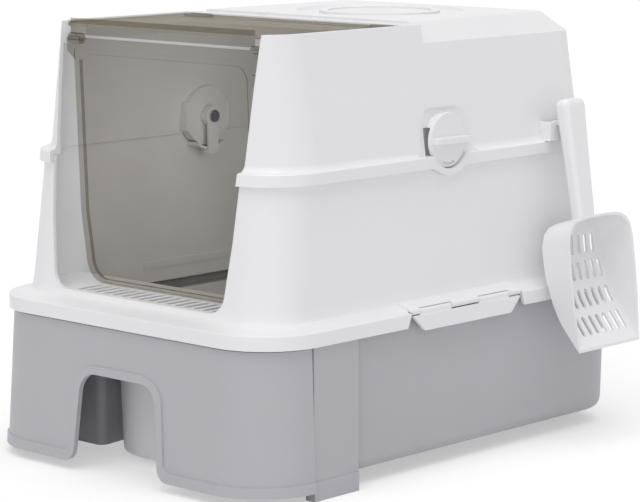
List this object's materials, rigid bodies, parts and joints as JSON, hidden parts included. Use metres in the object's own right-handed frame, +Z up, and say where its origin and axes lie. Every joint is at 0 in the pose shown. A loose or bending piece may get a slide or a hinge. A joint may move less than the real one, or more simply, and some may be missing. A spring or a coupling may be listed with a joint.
{
  "type": "drawer litter box",
  "caption": "Enclosed cat litter box: raised base with slide-out drawer and pan, clip-on shell and hood, swinging flap door, hinged top lid and a scoop on a side hook.",
  "frame": {"origin": "centre of the bounding box's footprint, at floor level", "axes": "+Z up, -Y towards the front (the doorway and drawer), +X towards the side with the scoop"},
  "size_m": [0.3814, 0.4858, 0.3694],
  "materials": {
    "white_plastic": "satin moulded white polypropylene",
    "grey_plastic": "satin moulded grey polypropylene",
    "smoke_plastic": "clear smoke-tinted",
    "steel": "plain steel wire and screws"
  },
  "bodies": {
    "housing": {"base_frame": "grey_plastic", "lower_shell": "white_plastic", "entry_grille": "white_plastic", "hood": "white_plastic", "lid_pins": "steel", "flap_pins": "steel", "latch_pin_left": "steel", "latch_pin_right": "steel", "scoop_hook": "white_plastic"},
    "drawer": {"drawer_front": "grey_plastic", "drawer_frame": "grey_plastic", "drawer_screws": "steel", "litter_pan": "white_plastic"},
    "flap": {"flap_door": "smoke_plastic"},
    "lid": {"top_lid": "smoke_plastic"},
    "lock_left": {"knob_left": "white_plastic", "cam_left": "white_plastic", "cam_screw_left": "steel"},
    "lock_right": {"knob_right": "white_plastic", "cam_right": "white_plastic", "cam_screw_right": "steel"},
    "side_latch_left": {"latch_left": "white_plastic"},
    "side_latch_right": {"latch_right": "white_plastic"},
    "hanging_scoop": {"scoop": "white_plastic"}
  },
  "joints": [
    {"name": "drawer_slide", "type": "slide", "parent": "housing", "child": "drawer", "axis": [0, -1, 0], "range_m": [0, 0.38]},
    {"name": "flap_swing", "type": "hinge", "parent": "housing", "child": "flap", "pos_m": [-0.0203, -0.1811, 0.352], "axis": [1, 0, 0], "range_deg": [-65, 85]},
    {"name": "lid_open", "type": "hinge", "parent": "housing", "child": "lid", "pos_m": [-0.0203, -0.0349, 0.3636], "axis": [-1, 0, 0], "range_deg": [0, 100]},
    {"name": "knob_left_turn", "type": "hinge", "parent": "housing", "child": "lock_left", "pos_m": [-0.1653, -0.0001, 0.271], "axis": [1, 0, 0], "range_deg": [0, 90]},
    {"name": "knob_right_turn", "type": "hinge", "parent": "housing", "child": "lock_right", "pos_m": [0.1247, -0.0001, 0.271], "axis": [1, 0, 0], "range_deg": [0, 90]},
    {"name": "latch_left_swing", "type": "hinge", "parent": "housing", "child": "side_latch_left", "pos_m": [-0.1867, 0.0049, 0.1367], "axis": [0, 1, 0], "range_deg": [0, 100]},
    {"name": "latch_right_swing", "type": "hinge", "parent": "housing", "child": "side_latch_right", "pos_m": [0.1461, 0.0049, 0.1367], "axis": [0, -1, 0], "range_deg": [0, 100]},
    {"name": "scoop_lift", "type": "slide", "parent": "housing", "child": "hanging_scoop", "axis": [0, 0, 1], "range_m": [0, 0.03]}
  ]
}
